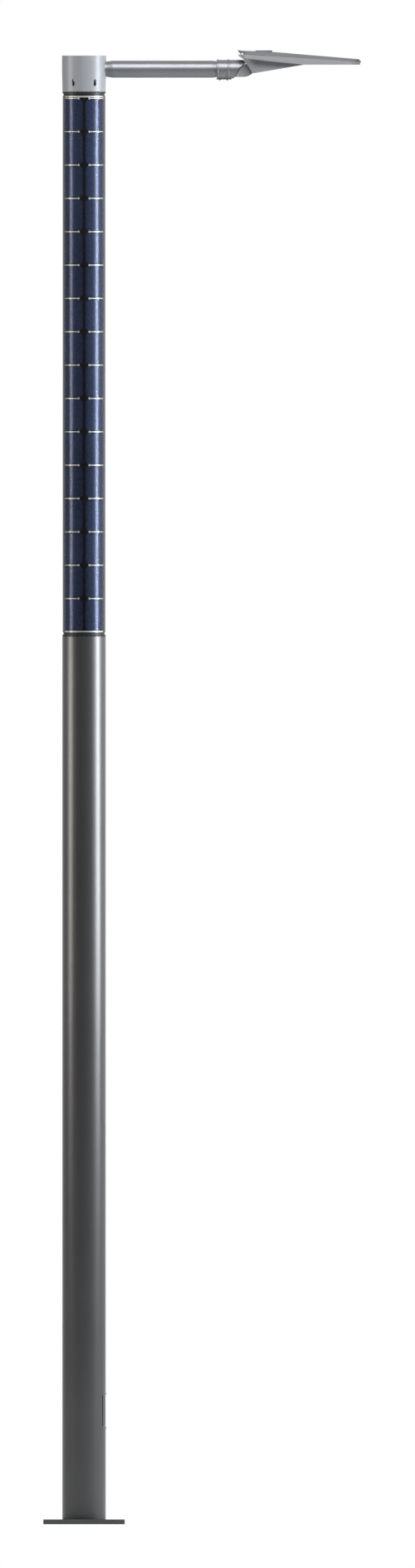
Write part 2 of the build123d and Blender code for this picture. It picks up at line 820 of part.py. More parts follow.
def belly_floor(x):
    """Inside height of the wedge's sloping floor."""
    slope = (rim_toe_z - belly_sole_z) / (rim_toe_x - belly_sole_x)
    return belly_sole_z + (x - belly_sole_x) * slope + belly_wall * sqrt(1 + slope ** 2)


def plan_face(inset):
    """Plan outline of the luminaire, tapering to the front, with round corners."""
    back = lamp_back_x + inset
    front = lamp_front_x - inset
    points = [(back, -lamp_back_half + inset), (front, -lamp_front_half + inset),
              (front, lamp_front_half - inset), (back, lamp_back_half - inset)]
    face = make_face(Polyline(*points, close=True))
    face = fillet(face.vertices().group_by(Axis.X)[0], lamp_back_corner - inset)
    return fillet(face.vertices().group_by(Axis.X)[-1], lamp_front_corner - inset)


def plan_walls(inset):
    return Pos(0, 0, -60) * extrude(plan_face(inset), 200)


def between_lines(low, high):
    """Slab between two planes parallel to the split plane, at two heights from it."""
    back = lamp_back_x - 20
    front = lamp_front_x + 20
    points = [(back, split_height(back) + low), (front, split_height(front) + low),
              (front, split_height(front) + high), (back, split_height(back) + high)]
    return side_plate(points, wide)


def hinge_barrels(radius, near, far):
    """Hinge barrels on both sides of the arm's plane, between two distances from it."""
    barrels = []
    for side in (-1, 1):
        ends = sorted((side * near, side * far))
        barrels.append(rod_y(radius, ends[0], ends[1], hinge_x, hinge_z))
    return barrels


def window_face(extra):
    return Pos(window_centre_x, 0) * RectangleRounded(window_length + 2 * extra, 2 * (window_half + extra),
                                                      window_corner + extra)


def rim_form(inset, lift):
    """The housing's rim, or its hollow when inset by the wall and lifted by the floor."""
    back = lamp_back_x - 5
    front = lamp_front_x + 5
    top = -split_gap if inset == 0 else 40
    points = [(back, split_height(back) + top), (back, rim_heel_z + lift), (lamp_back_x + 2, rim_heel_z + lift),
              (rim_knee_x, rim_knee_z + lift), (rim_toe_x, rim_toe_z + lift), (front, rim_toe_z + lift),
              (front, split_height(front) + top)]
    return plan_walls(inset) & side_plate(points, wide)


def belly_form(inset):
    """Wedge under the back half that holds the driver, or its hollow."""
    points = [(belly_back_x, belly_back_z + 12), (belly_back_x, belly_back_z), (belly_heel_x, belly_sole_z),
              (belly_sole_x, belly_sole_z), (rim_toe_x, rim_toe_z - 0.05), (rim_toe_x, rim_toe_z + 9),
              (rim_knee_x, rim_knee_z + 10)]
    face = make_face(Polyline(*points, close=True))
    if inset > 0:
        face = offset(face, amount=-inset, kind=Kind.INTERSECTION)
    half = belly_half - inset
    wedge = extrude(Plane.XZ * face, half, both=True)
    slanted = [edge for edge in wedge.edges()
               if abs(abs(edge.center().Y) - half) < 0.1 and edge.center().X < belly_heel_x
               and abs(edge.tangent_at(0.5).Z) > 0.5 and abs(edge.tangent_at(0.5).X) > 0.2]
    return fillet(slanted, belly_corner - inset)


def lamp_housing():
    shell = rim_form(0, 0) + belly_form(0)
    root_x = belly_back_x + lip_root
    lip = [(lip_tip_x + 0.7, split_back_z - 0.2), (lip_tip_x, lip_low_z), (lip_throat_x, lip_throat_z),
           (belly_back_x, belly_back_z), (root_x, belly_back_z), (root_x, split_height(root_x) - split_gap)]
    shell += side_plate(lip, lip_half)
    shell -= rim_form(rim_wall, rim_floor)
    shell -= belly_form(belly_wall)
    shell -= box(lever_tip_x - 10, lever_pin_x + 0.5, -10, 10, belly_back_z + 3, split_back_z + 5)
    shell -= Pos(0, 0, rim_toe_z - 5) * extrude(window_face(0), 40)
    # slot that the knuckle's tongue tilts in
    shell -= box(lamp_back_x - 11, pivot_x + tongue_end_r + 5, -tongue_half - 1, tongue_half + 1,
                 belly_sole_z - 30, pivot_z + tongue_end_r + 2)
    shell -= (plan_walls(1.8) - plan_walls(4.4)) & between_lines(-2.6, 40)
    shell -= hinge_barrels(hinge_barrel_r + hinge_clearance, barrel_near - hinge_clearance, barrel_split)
    shell += hinge_barrels(hinge_barrel_r, barrel_split + hinge_clearance, barrel_far)
    shell -= rod_y(hinge_pin_r + pin_fit, -barrel_far, barrel_far, hinge_x, hinge_z)
    for x, y in post_places:
        shell += rod_z(post_r, floor_z - 0.5, spreader_z - 0.1, x, y)
        shell -= rod_z(1.6, floor_z + 1, spreader_z + 1, x, y)
    return shell


def roof_cutter(side, inset):
    """Everything above one sloping side facet of the canopy."""
    back = Vector(lamp_back_x, side * lamp_back_half, split_height(lamp_back_x))
    front = Vector(lamp_front_x, side * lamp_front_half, split_height(lamp_front_x))
    run = front - back
    rise = Vector(0, -side * cos(radians(canopy_facet_deg)), sin(radians(canopy_facet_deg)))
    normal = run.cross(rise).normalized()
    if normal.Z < 0:
        normal = normal * -1
    facet = Plane(origin=back - normal * inset, x_dir=run, z_dir=normal)
    return extrude(facet * Rectangle(2000, 1600), 120)


def canopy_form(inset, sunk):
    """The canopy's outer body, or its hollow when inset by the wall."""
    back = lamp_back_x - 20
    front = lamp_front_x + 20
    points = [(back, split_height(back) - sunk), (back, canopy_back_rise + 0.9 - inset),
              (belly_back_x, canopy_back_rise - inset), (canopy_brow_x, canopy_brow_z - inset),
              (lamp_front_x - 5, canopy_nose_z - inset), (lamp_front_x + 4, canopy_lip_z - inset),
              (front, split_height(front) - sunk)]
    form = plan_walls(inset) & side_plate(points, wide)
    return form - [roof_cutter(side, inset) for side in (-1, 1)]


def canopy():
    well_r = sensor_r + 3.5
    well_low = sensor_seat_z - 2.4
    shell = canopy_form(0, 0)
    shell -= canopy_form(canopy_wall, 30) - rod_z(well_r, well_low, sensor_top_z + 20, sensor_x, 0)
    shell -= rod_z(sensor_r + sensor_gap, sensor_seat_z, sensor_top_z + 20, sensor_x, 0)
    ear_in = lever_half + lever_gap
    for side in (-1, 1):
        ends = sorted((side * ear_in, side * (ear_in + lever_ear)))
        shell += rod_y(lever_knuckle_r, ends[0], ends[1], lever_pin_x, lever_pin_z)
        shell += box(lever_pin_x, lamp_back_x + 2, ends[0], ends[1], lever_pin_z - lever_knuckle_r,
                     lever_pin_z + lever_knuckle_r - 1)
    shell -= rod_y(lever_pin_r + pin_fit, -ear_in - lever_ear - 1, ear_in + lever_ear + 1, lever_pin_x, lever_pin_z)
    shell -= hinge_barrels(hinge_barrel_r + hinge_clearance, barrel_split, barrel_far + hinge_clearance)
    shell += hinge_barrels(hinge_barrel_r, barrel_near, barrel_split - hinge_clearance)
    shell -= rod_y(hinge_pin_r + pin_fit, -barrel_far, barrel_far, hinge_x, hinge_z)
    return shell


def canopy_gasket():
    gasket = (plan_walls(1.9) - plan_walls(4.3)) & between_lines(-2.5, -0.1)
    return gasket - hinge_barrels(hinge_barrel_r + 2 * hinge_clearance, 0, barrel_far + 2)


def latch_lever():
    tip = [(lever_tip_x, lever_tip_z), (lever_pin_x, lever_pin_z + lever_knuckle_r),
           (lever_pin_x, lever_pin_z - lever_knuckle_r), (lever_tip_x + 7.8, lever_pin_z - lever_knuckle_r + 0.4)]
    lever = side_plate(tip, lever_half) + rod_y(lever_knuckle_r, -lever_half, lever_half, lever_pin_x, lever_pin_z)
    lever += box(lever_pin_x - 4.5, lever_pin_x - 1, -7, 7, split_back_z - 8.5, lever_pin_z)
    return lever - rod_y(lever_pin_r + pin_fit, -60, 60, lever_pin_x, lever_pin_z)


def lever_pin():
    reach = lever_half + lever_gap + lever_ear
    return rod_y(lever_pin_r, -reach, reach, lever_pin_x, lever_pin_z)


def hinge_pin():
    return rod_y(hinge_pin_r, -barrel_far, barrel_far, hinge_x, hinge_z)


def sensor_cap():
    cap = rod_z(sensor_r, sensor_seat_z + 0.2, sensor_top_z, sensor_x, 0)
    return chamfer(cap.edges().filter_by(GeomType.CIRCLE).sort_by(Axis.Z)[-1], 1.5)


def glass_cover():
    return Pos(0, 0, floor_z + glass_seal_thickness + 0.1) * extrude(window_face(glass_lap), glass_thickness)


def glass_seal():
    ring = window_face(glass_lap) - window_face(1)
    return Pos(0, 0, floor_z + 0.02) * extrude(ring, glass_seal_thickness)


def led_board():
    return Pos(0, 0, board_z) * extrude(window_face(-6), board_thickness)


def led_optics():
    """Optic sheet: a row-and-column field of shallow domes under the board."""
    optics = Pos(0, 0, board_z - 1.3) * extrude(window_face(-8), 1.2)
    pitch_x = (window_length - 2 * optic_margin) / (optic_count - 1)
    pitch_y = 2 * (window_half - optic_margin) / (optic_count - 1)
    domes = []
    for column in range(optic_count):
        for row in range(optic_count):
            x = window_back_x + optic_margin + column * pitch_x
            y = optic_margin - window_half + row * pitch_y
            domes.append(Pos(x, y, board_z - optic_height) * Cone(optic_foot_r, optic_top_r, optic_height))
    return optics + domes


def heat_spreader():
    outline = Pos(window_centre_x, 0) * RectangleRounded(window_length + 2 * spreader_margin,
                                                         2 * (window_half + 4), 20)
    plate = Pos(0, 0, spreader_z) * extrude(outline, spreader_thickness)
    for x, y in post_places:
        plate -= rod_z(1.7, spreader_z - 1, spreader_z + 6, x, y)
    return plate


def spreader_screws():
    top = spreader_z + spreader_thickness
    screws = []
    for x, y in post_places:
        screws.append(rod_z(1.5, floor_z + 3, top + 0.5, x, y) + rod_z(2.8, top + 0.05, top + 1.6, x, y))
    return Compound(screws)


def led_driver():
    body = box(driver_x, driver_x + driver_length, -driver_half, driver_half, driver_low_z,
               driver_low_z + driver_height)
    return fillet(body.edges().filter_by(Axis.Z), 4)


def driver_tray():
    front = driver_x + driver_length + 8
    low = driver_low_z - 0.1 - tray_plate
    half = driver_half + tray_reach
    plate = box(driver_x - 8, front, -half, half, low, driver_low_z - 0.1)
    for x in (driver_x - 4, front - 4):
        for side in (-1, 1):
            plate += rod_z(tray_post_r, belly_floor(x + tray_post_r) + 0.1, low + 1, x, side * (half - 6))
    return plate


def surge_protector():
    front = side_box_x + surge_length
    body = box(side_box_x, front, -surge_far, -surge_near, belly_floor(front) + 0.2, surge_top_z)
    return fillet(body.edges().filter_by(Axis.Z), 4)


def lamp_terminals():
    front = side_box_x + joint_length
    block = box(side_box_x, front, joint_near, joint_far, belly_floor(front) + 0.2, joint_top_z)
    middle = (joint_near + joint_far) / 2
    for index in range(3):
        for y in (middle - 7, middle + 7):
            block -= rod_z(3, joint_top_z - 5, joint_top_z + 6, side_box_x + 8 + index * joint_way_pitch, y)
    return block


# ---------------------------------------------------------------- write one file per piece
def build_all():
    pieces = {
        "base_plate": base_plate(), "lower_pole": lower_pole(), "door_frame": door_frame(),
        "door_seal": door_seal(), "lock_bridge": lock_bridge(), "battery_tray": battery_tray(),
        "battery_packs": Compound([battery_pack(0), battery_pack(1)]), "battery_straps": battery_straps(),
        "charge_controller": charge_controller(), "controller_terminals": controller_terminals(),
        "terminal_carrier": terminal_carrier(), "terminal_block": terminal_block(),
        "panel_screws": panel_screws(), "vent_screens": vent_screens(), "earth_stud": earth_stud(),
        "inner_mast": inner_mast(), "mast_rings": mast_rings(),
        "sleeve_spacers": sleeve_spacers(), "cell_sleeve": cell_sleeve(), "cell_tabs": cell_tabs(),
        "bus_bars": bus_bars(),
        "clear_tube": clear_tube(), "end_ring_lower": end_ring(pole_top, False),
        "end_ring_upper": end_ring(sleeve_head, True), "thrust_washer": thrust_washer(),
        "battery_door": battery_door(), "door_lock_bolt": door_lock_bolt(), "service_cover": service_cover(),
        "head_cap": head_cap(), "cap_lid": cap_lid(), "head_hub": head_hub(), "head_screws": head_screws(),
        "arm_tube": arm_tube(),
    }
    on_arm = {
        "spigot_knuckle": spigot_knuckle(), "collar_screws": collar_screws(),
        "tilt_bracket": tilt_bracket(), "tilt_bolt": tilt_bolt(), "tilt_nut": tilt_nut(),
        "lamp_housing": lamp_housing(), "canopy": canopy(), "canopy_gasket": canopy_gasket(),
        "latch_lever": latch_lever(), "lever_pin": lever_pin(), "hinge_pin": hinge_pin(),
        "sensor_cap": sensor_cap(), "glass_cover": glass_cover(), "glass_seal": glass_seal(),
        "led_board": led_board(), "led_optics": led_optics(), "heat_spreader": heat_spreader(),
        "spreader_screws": spreader_screws(), "led_driver": led_driver(), "driver_tray": driver_tray(),
        "surge_protector": surge_protector(), "lamp_terminals": lamp_terminals(),
    }
    for name, shape in on_arm.items():
        pieces[name] = Pos(arm_reach, 0, arm_z) * shape
    blank = cell_blank()
    for column in range(cell_columns):
        pieces[f"solar_cells_{column + 1}"] = cell_column(blank, column)
    return pieces


os.makedirs("parts", exist_ok=True)
for name, shape in build_all().items():
    export_step(shape, f"parts/{name}.step")
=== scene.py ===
import json
import math
import bpy
import bmesh
from mathutils import Matrix, Vector


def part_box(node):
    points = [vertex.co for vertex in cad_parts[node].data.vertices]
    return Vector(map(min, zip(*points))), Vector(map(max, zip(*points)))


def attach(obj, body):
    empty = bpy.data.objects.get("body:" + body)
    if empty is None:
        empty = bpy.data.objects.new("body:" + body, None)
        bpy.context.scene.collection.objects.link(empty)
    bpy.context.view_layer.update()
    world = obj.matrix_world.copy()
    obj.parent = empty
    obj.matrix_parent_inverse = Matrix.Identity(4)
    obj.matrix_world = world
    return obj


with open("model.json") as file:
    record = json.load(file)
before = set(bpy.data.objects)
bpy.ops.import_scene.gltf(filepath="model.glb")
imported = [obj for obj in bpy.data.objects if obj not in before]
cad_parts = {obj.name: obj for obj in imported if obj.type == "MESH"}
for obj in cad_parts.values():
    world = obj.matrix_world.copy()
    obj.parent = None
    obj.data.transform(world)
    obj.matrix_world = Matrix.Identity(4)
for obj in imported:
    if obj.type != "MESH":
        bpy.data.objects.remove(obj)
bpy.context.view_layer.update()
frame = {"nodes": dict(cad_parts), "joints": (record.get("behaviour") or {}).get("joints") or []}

scene = bpy.context.scene
cadNodes = frame["nodes"]
print("frame loaded:", len(cadNodes), "nodes")

# socket numbers of the Mix node while it blends colours
mixFactor, mixFirst, mixSecond, mixResult = 0, 6, 7, 2


def startMaterial(name):
    material = bpy.data.materials.new(name)
    material.use_nodes = True
    nodes, links = material.node_tree.nodes, material.node_tree.links
    nodes.clear()
    output = nodes.new("ShaderNodeOutputMaterial")
    shader = nodes.new("ShaderNodeBsdfPrincipled")
    links.new(shader.outputs["BSDF"], output.inputs["Surface"])
    return material, nodes, links, shader


def objectCoords(nodes, links, stretch=(1, 1, 1)):
    coords = nodes.new("ShaderNodeTexCoord")
    mapping = nodes.new("ShaderNodeMapping")
    mapping.inputs["Scale"].default_value = stretch
    links.new(coords.outputs["Object"], mapping.inputs["Vector"])
    return mapping.outputs["Vector"]


def noiseField(nodes, links, vector, scale, detail=3.0, roughness=0.55):
    noise = nodes.new("ShaderNodeTexNoise")
    noise.inputs["Scale"].default_value = scale
    noise.inputs["Detail"].default_value = detail
    noise.inputs["Roughness"].default_value = roughness
    links.new(vector, noise.inputs["Vector"])
    return noise.outputs["Fac"]


# Maps a field to low..high; a noise field mostly lies between 0.3 and 0.7.
def spread(nodes, links, field, low, high, fromLow=0.3, fromHigh=0.7):
    ranged = nodes.new("ShaderNodeMapRange")
    ranged.inputs["From Min"].default_value = fromLow
    ranged.inputs["From Max"].default_value = fromHigh
    ranged.inputs["To Min"].default_value = low
    ranged.inputs["To Max"].default_value = high
    links.new(field, ranged.inputs["Value"])
    return ranged.outputs["Result"]


# Each of the two colours is a tuple or another node's output.
def blendColours(nodes, links, factor, first, second):
    mix = nodes.new("ShaderNodeMix")
    mix.data_type = "RGBA"
    for number, colour in ((mixFirst, first), (mixSecond, second)):
        if isinstance(colour, tuple):
            mix.inputs[number].default_value = (*colour, 1)
        else:
            links.new(colour, mix.inputs[number])
    links.new(factor, mix.inputs[mixFactor])
    return mix.outputs[mixResult]


def mixShaders(nodes, links, factor, first, second):
    mix = nodes.new("ShaderNodeMixShader")
    links.new(factor, mix.inputs["Fac"])
    links.new(first, mix.inputs[1])
    links.new(second, mix.inputs[2])
    return mix.outputs["Shader"]


def addBump(nodes, links, shader, field, strength, distance):
    bump = nodes.new("ShaderNodeBump")
    bump.inputs["Strength"].default_value = strength
    bump.inputs["Distance"].default_value = distance
    links.new(field, bump.inputs["Height"])
    links.new(bump.outputs["Normal"], shader.inputs["Normal"])


# what a coated, plated or moulded finish has unless its own entry says otherwise
coatedDefaults = {"stretch": (1, 1, 1), "cloudScale": 6.0, "cloudDetail": 4.0, "grainDetail": 2.0,
                  "metallic": 0.0, "specular": 0.5, "coat": 0.0, "coatRoughness": 0.2,
                  "bumpDepth": 0.0002}


# A large soft stain between two colours, and a fine grain in the roughness and the bump.
def coatedFinish(name, changes):
    look = {**coatedDefaults, **changes}
    material, nodes, links, shader = startMaterial(name)
    vector = objectCoords(nodes, links, look["stretch"])
    cloud = noiseField(nodes, links, vector, look["cloudScale"], look["cloudDetail"])
    grain = noiseField(nodes, links, vector, look["grainScale"], look["grainDetail"])
    stained = spread(nodes, links, cloud, 0.0, 1.0)
    links.new(blendColours(nodes, links, stained, look["colour"], look["stain"]),
              shader.inputs["Base Color"])
    links.new(spread(nodes, links, grain, *look["roughness"]), shader.inputs["Roughness"])
    shader.inputs["Metallic"].default_value = look["metallic"]
    shader.inputs["Specular IOR Level"].default_value = look["specular"]
    shader.inputs["Coat Weight"].default_value = look["coat"]
    shader.inputs["Coat Roughness"].default_value = look["coatRoughness"]
    addBump(nodes, links, shader, grain, look["bump"], look["bumpDepth"])
    material.diffuse_color = (*look["colour"], 1)
    return material


# colours are linear, and scales are in noise cells per metre
finishes = {
    "polePaint": {"colour": (0.150, 0.150, 0.150), "stain": (0.132, 0.133, 0.134),
                  "metallic": 0.9, "roughness": (0.36, 0.42), "coat": 0.35,
                  "coatRoughness": 0.35, "grainScale": 900.0, "cloudScale": 3.0, "bump": 0.10},
    "platePaint": {"colour": (0.115, 0.117, 0.12), "stain": (0.095, 0.097, 0.10),
                   "metallic": 0.3, "roughness": (0.42, 0.55), "grainScale": 700.0, "bump": 0.18},
    "castGrey": {"colour": (0.300, 0.308, 0.325), "stain": (0.275, 0.284, 0.302),
                 "metallic": 0.15, "specular": 0.4, "roughness": (0.36, 0.44),
                 "grainScale": 800.0, "bump": 0.12},
    "armGrey": {"colour": (0.235, 0.242, 0.256), "stain": (0.215, 0.221, 0.234),
                "metallic": 0.55, "roughness": (0.34, 0.40), "grainScale": 800.0, "bump": 0.10},
    # the canopy is the luminaire's grey darkened as painted shade, so its upward-sloping top facet
    # reads darker than the housing's sides
    "canopyGreyPaintedShade": {"colour": (0.178, 0.183, 0.192), "stain": (0.165, 0.169, 0.177),
                   "metallic": 0.05, "roughness": (0.52, 0.60), "specular": 0.35,
                   "grainScale": 1100.0, "bump": 0.12},
    "lampGrey": {"colour": (0.36, 0.368, 0.386), "stain": (0.34, 0.347, 0.364),
                 "metallic": 0.05, "roughness": (0.52, 0.60), "specular": 0.35,
                 "grainScale": 1100.0, "bump": 0.16},
    "panelGrey": {"colour": (0.16, 0.16, 0.16), "stain": (0.13, 0.13, 0.13),
                  "metallic": 0.8, "roughness": (0.4, 0.5), "grainScale": 800.0, "bump": 0.1},
    "blackMoulding": {"colour": (0.012, 0.012, 0.013), "stain": (0.018, 0.018, 0.019),
                      "roughness": (0.38, 0.55), "grainScale": 1400.0, "bump": 0.2},
    "laminateBlack": {"colour": (0.004, 0.004, 0.005), "stain": (0.007, 0.007, 0.008),
                      "roughness": (0.25, 0.35), "grainScale": 500.0, "bump": 0.05},
    "meshBlack": {"colour": (0.010, 0.010, 0.011), "stain": (0.016, 0.016, 0.017),
                  "metallic": 0.4, "roughness": (0.5, 0.6), "grainScale": 600.0, "bump": 0.3},
    "sealRubber": {"colour": (0.015, 0.015, 0.015), "stain": (0.022, 0.022, 0.022),
                   "roughness": (0.6, 0.75), "grainScale": 900.0, "bump": 0.25},
    "zincSteel": {"colour": (0.52, 0.52, 0.51), "stain": (0.42, 0.43, 0.43), "metallic": 1.0,
                  "roughness": (0.28, 0.45), "grainScale": 300.0, "cloudScale": 30.0,
                  "bump": 0.12},
    "machinedAluminium": {"colour": (0.66, 0.67, 0.68), "stain": (0.58, 0.59, 0.60),
                          "metallic": 1.0, "roughness": (0.22, 0.38), "grainScale": 260.0,
                          "stretch": (1, 1, 12), "bump": 0.15},
    "nylonWasher": {"colour": (0.72, 0.70, 0.64), "stain": (0.66, 0.64, 0.58),
                    "roughness": (0.4, 0.5), "grainScale": 600.0, "bump": 0.08},
    "brassStud": {"colour": (0.72, 0.50, 0.20), "stain": (0.60, 0.40, 0.16), "metallic": 1.0,
                  "roughness": (0.25, 0.4), "grainScale": 400.0, "bump": 0.1},
    "batteryCase": {"colour": (0.05, 0.075, 0.10), "stain": (0.04, 0.06, 0.085),
                    "roughness": (0.42, 0.55), "grainScale": 900.0, "bump": 0.2},
    "boardWhite": {"colour": (0.80, 0.80, 0.77), "stain": (0.74, 0.74, 0.71),
                   "roughness": (0.3, 0.4), "grainScale": 700.0, "bump": 0.05},
    "phosphor": {"colour": (0.75, 0.55, 0.10), "stain": (0.68, 0.48, 0.08),
                 "roughness": (0.5, 0.6), "grainScale": 2500.0, "bump": 0.1},
    "ribbonSilver": {"colour": (0.88, 0.89, 0.88), "stain": (0.80, 0.81, 0.80),
                     "metallic": 0.25, "roughness": (0.3, 0.45), "grainScale": 500.0,
                     "bump": 0.1},
}
made = {name: coatedFinish(name, look) for name, look in finishes.items()}

# the wave texture's own factor: its bands repeat every tau / (waveFactor * scale) metres
waveFactor = 20


# Monocrystalline wafer: deep navy that shifts a little from cell to cell, crossed by printed
# contact fingers, under an anti-reflection film.
def waferFinish(look):
    material, nodes, links, shader = startMaterial("solarWafer")
    vector = objectCoords(nodes, links)
    cloud = noiseField(nodes, links, vector, look["cloudScale"], look["cloudDetail"])
    fine = noiseField(nodes, links, vector, look["fineScale"], look["fineDetail"])
    shifted = spread(nodes, links, cloud, 0.0, 1.0, *look["cloudRange"])
    tint = blendColours(nodes, links, shifted, look["deep"], look["light"])
    fingers = nodes.new("ShaderNodeTexWave")
    fingers.wave_type = "BANDS"
    fingers.bands_direction = "Z"
    fingers.inputs["Scale"].default_value = math.tau / (waveFactor * look["fingerPitch"])
    links.new(vector, fingers.inputs["Vector"])
    line = spread(nodes, links, fingers.outputs["Fac"], 0.0, look["fingerTint"],
                  *look["fingerRange"])
    links.new(blendColours(nodes, links, line, tint, look["finger"]), shader.inputs["Base Color"])
    links.new(spread(nodes, links, fine, *look["roughness"]), shader.inputs["Roughness"])
    shader.inputs["Metallic"].default_value = look["metallic"]
    shader.inputs["Coat Weight"].default_value = look["coat"]
    shader.inputs["Coat Roughness"].default_value = look["coatRoughness"]
    addBump(nodes, links, shader, fine, look["bump"], look["bumpDepth"])
    return material


wafer = {"deep": (0.023, 0.038, 0.100), "light": (0.031, 0.050, 0.122),
         "cloudScale": 4.0, "cloudDetail": 2.0, "cloudRange": (0.35, 0.65),
         "fineScale": 300.0, "fineDetail": 3.0,
         "finger": (0.20, 0.22, 0.26), "fingerPitch": 0.0022, "fingerTint": 0.5,
         "fingerRange": (0.93, 1.0),  # the wave's crest, where the finger is printed
         "roughness": (0.24, 0.31), "metallic": 0.4, "coat": 0.1, "coatRoughness": 0.25,
         "bump": 0.04, "bumpDepth": 0.0001}
made["solarWafer"] = waferFinish(wafer)

clearDefaults = {"smearDetail": 2.0, "edgeBlend": 0.5, "ior": 1.5, "bump": 0.02,
                 "bumpDepth": 0.0002}


# See-through face on, a soft gloss on top, and a painted reflection where the wall is seen edge
# on: a colour and an opacity that stand in for what the glass reflects at its edge.
def clearFinish(name, changes):
    look = {**clearDefaults, **changes}
    material, nodes, links, shader = startMaterial(name)
    vector = objectCoords(nodes, links)
    smear = noiseField(nodes, links, vector, look["smearScale"], look["smearDetail"])
    links.new(spread(nodes, links, smear, *look["roughness"]), shader.inputs["Roughness"])
    # the base colour is the painted edge reflection, shown where the wall turns opaque edge on
    shader.inputs["Base Color"].default_value = (*look["rim"], 1)
    edge = nodes.new("ShaderNodeLayerWeight")
    edge.inputs["Blend"].default_value = look["edgeBlend"]
    opacity = spread(nodes, links, edge.outputs["Facing"], look["faceOn"], look["edgeOn"],
                     look["edgeStart"], look["edgeEnd"])
    links.new(opacity, shader.inputs["Alpha"])
    shader.inputs["IOR"].default_value = look["ior"]
    addBump(nodes, links, shader, smear, look["bump"], look["bumpDepth"])
    return material


clearLooks = {
    # the tube's dark edge is a painted reflection, standing in for the dark strips its wall
    # reflects inward where it is seen edge on
    "clearTube": {"rim": (0.02, 0.021, 0.022), "smearScale": 12.0, "roughness": (0.10, 0.16),
                  "edgeStart": 0.58, "edgeEnd": 0.68, "faceOn": 0.08, "edgeOn": 0.85},
    "lampGlass": {"rim": (0.05, 0.06, 0.06), "smearScale": 20.0, "roughness": (0.02, 0.05),
                  "edgeStart": 0.6, "edgeEnd": 1.0, "faceOn": 0.12, "edgeOn": 0.6},
    # the optics' pale edge is a painted reflection
    "clearOptic": {"rim": (0.75, 0.78, 0.80), "smearScale": 30.0, "roughness": (0.03, 0.08),
                   "edgeStart": 0.2, "edgeEnd": 0.9, "faceOn": 0.25, "edgeOn": 0.8},
}
for clearName, clearLook in clearLooks.items():
    made[clearName] = clearFinish(clearName, clearLook)

nodeFinishes = {
    "polePaint": ["lower_pole", "battery_door"],
    "platePaint": ["base_plate"],
    "castGrey": ["head_cap", "cap_lid"],
    "armGrey": ["arm_tube", "spigot_knuckle"],
    "lampGrey": ["lamp_housing"],
    # these take the housing grey darkened as painted shade for the sloping top
    "canopyGreyPaintedShade": ["canopy", "latch_lever", "sensor_cap"],
    "panelGrey": ["service_cover"],
    "blackMoulding": ["end_ring_lower", "end_ring_upper", "controller_terminals",
                      "terminal_block", "lamp_terminals", "surge_protector"],
    "meshBlack": ["vent_screens"],
    "laminateBlack": ["cell_sleeve"],
    "solarWafer": ["solar_cells_1", "solar_cells_2", "solar_cells_3", "solar_cells_4"],
    "ribbonSilver": ["cell_tabs", "bus_bars"],
    "clearTube": ["clear_tube"],
    "sealRubber": ["door_seal", "canopy_gasket", "glass_seal"],
    "zincSteel": ["door_frame", "lock_bridge", "battery_tray", "battery_straps",
                  "terminal_carrier", "panel_screws", "inner_mast", "mast_rings",
                  "head_screws", "door_lock_bolt", "collar_screws", "tilt_bracket",
                  "tilt_bolt", "tilt_nut", "hinge_pin", "lever_pin", "spreader_screws",
                  "driver_tray"],
    "machinedAluminium": ["sleeve_spacers", "head_hub", "heat_spreader", "led_driver"],
    "nylonWasher": ["thrust_washer"],
    "brassStud": ["earth_stud"],
    "batteryCase": ["battery_packs", "charge_controller"],
    "boardWhite": ["led_board"],
    "clearOptic": ["led_optics"],
    "lampGlass": ["glass_cover"],
}
for finishName, nodeNames in nodeFinishes.items():
    for nodeName in nodeNames:
        for materialSlot in cadNodes[nodeName].material_slots:
            materialSlot.material = made[finishName]
print("finishes set on", sum(len(names) for names in nodeFinishes.values()), "nodes")


def meshFrom(name, shape):
    mesh = bpy.data.meshes.new(name)
    shape.to_mesh(mesh)
    shape.free()
    return mesh


# Adds a small piece that the CAD leaves out; it rides on one of the CAD's bodies.
def finishPiece(name, shape, body, finishName):
    mesh = meshFrom(name, shape)
    piece = bpy.data.objects.new(name, mesh)
    scene.collection.objects.link(piece)
    mesh.materials.append(made[finishName])
    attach(piece, body)


# A closed skin over rings of as many points each, with a face on both ends.
def skinRings(shape, rings):
    count = len(rings[0])
    for lower, upper in zip(rings, rings[1:]):
        for index in range(count):
            after = (index + 1) % count
            shape.faces.new((lower[index], lower[after], upper[after], upper[index]))
    shape.faces.new(rings[0][::-1])
    shape.faces.new(rings[-1])


# One level wire of the screen, bent round into a hoop.
def addWireHoop(wires, look, height):
    sides = look["hoopSides"]
    ring = []
    for step in range(look["hoopSteps"]):
        angle = math.tau * step / look["hoopSteps"]
        outward = Vector((math.cos(angle), math.sin(angle), 0))
        middle = outward * look["radius"] + Vector((0, 0, height))
        turns = [math.tau * side / sides for side in range(sides)]
        ring.append([wires.verts.new(middle + outward * look["wire"] * math.cos(turn)
                                     + Vector((0, 0, look["wire"] * math.sin(turn))))
                     for turn in turns])
    for here, after in zip(ring, ring[1:] + ring[:1]):
        for side in range(sides):
            other = (side + 1) % sides
            wires.faces.new((here[side], after[side], after[other], here[other]))


